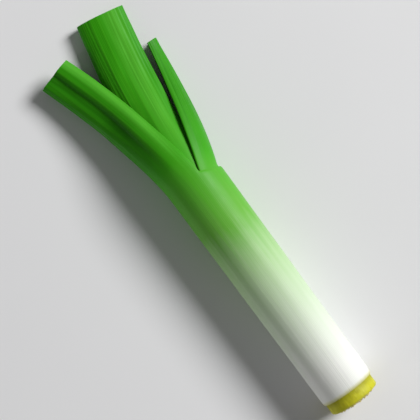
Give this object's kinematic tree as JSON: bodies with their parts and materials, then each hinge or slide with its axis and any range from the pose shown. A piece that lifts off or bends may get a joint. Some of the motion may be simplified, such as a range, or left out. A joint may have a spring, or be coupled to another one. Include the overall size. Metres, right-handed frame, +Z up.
{
  "type": "leek",
  "caption": "Trimmed leek lying on its side: a thick yellow root plate, a straight pale shaft of nested leaf sheaths, and cut green leaves fanned apart above it.",
  "frame": {"origin": "on the resting surface, under the middle of the leek's bounding box", "axes": "+X runs along the shaft from the root plate to the cut leaf ends, +Y is the side that the outer leaf bends to, +Z is up from the resting surface"},
  "size_m": [0.3314, 0.087, 0.0425],
  "materials": {
    "root_plate": "matt, fibrous, pale yellow",
    "outer_leaf": "satin, waxy; white at the root, pale green up the shaft, mid to dark green at the cut end",
    "side_leaf": "satin, waxy; pale in the shaft, bright green blade",
    "inner_leaf": "satin, waxy; pale in the shaft, bright green blade"
  },
  "bodies": {
    "root": {"root_plate": "root_plate", "outer_leaf": "outer_leaf", "side_leaf": "side_leaf", "inner_leaf": "inner_leaf"}
  },
  "joints": []
}
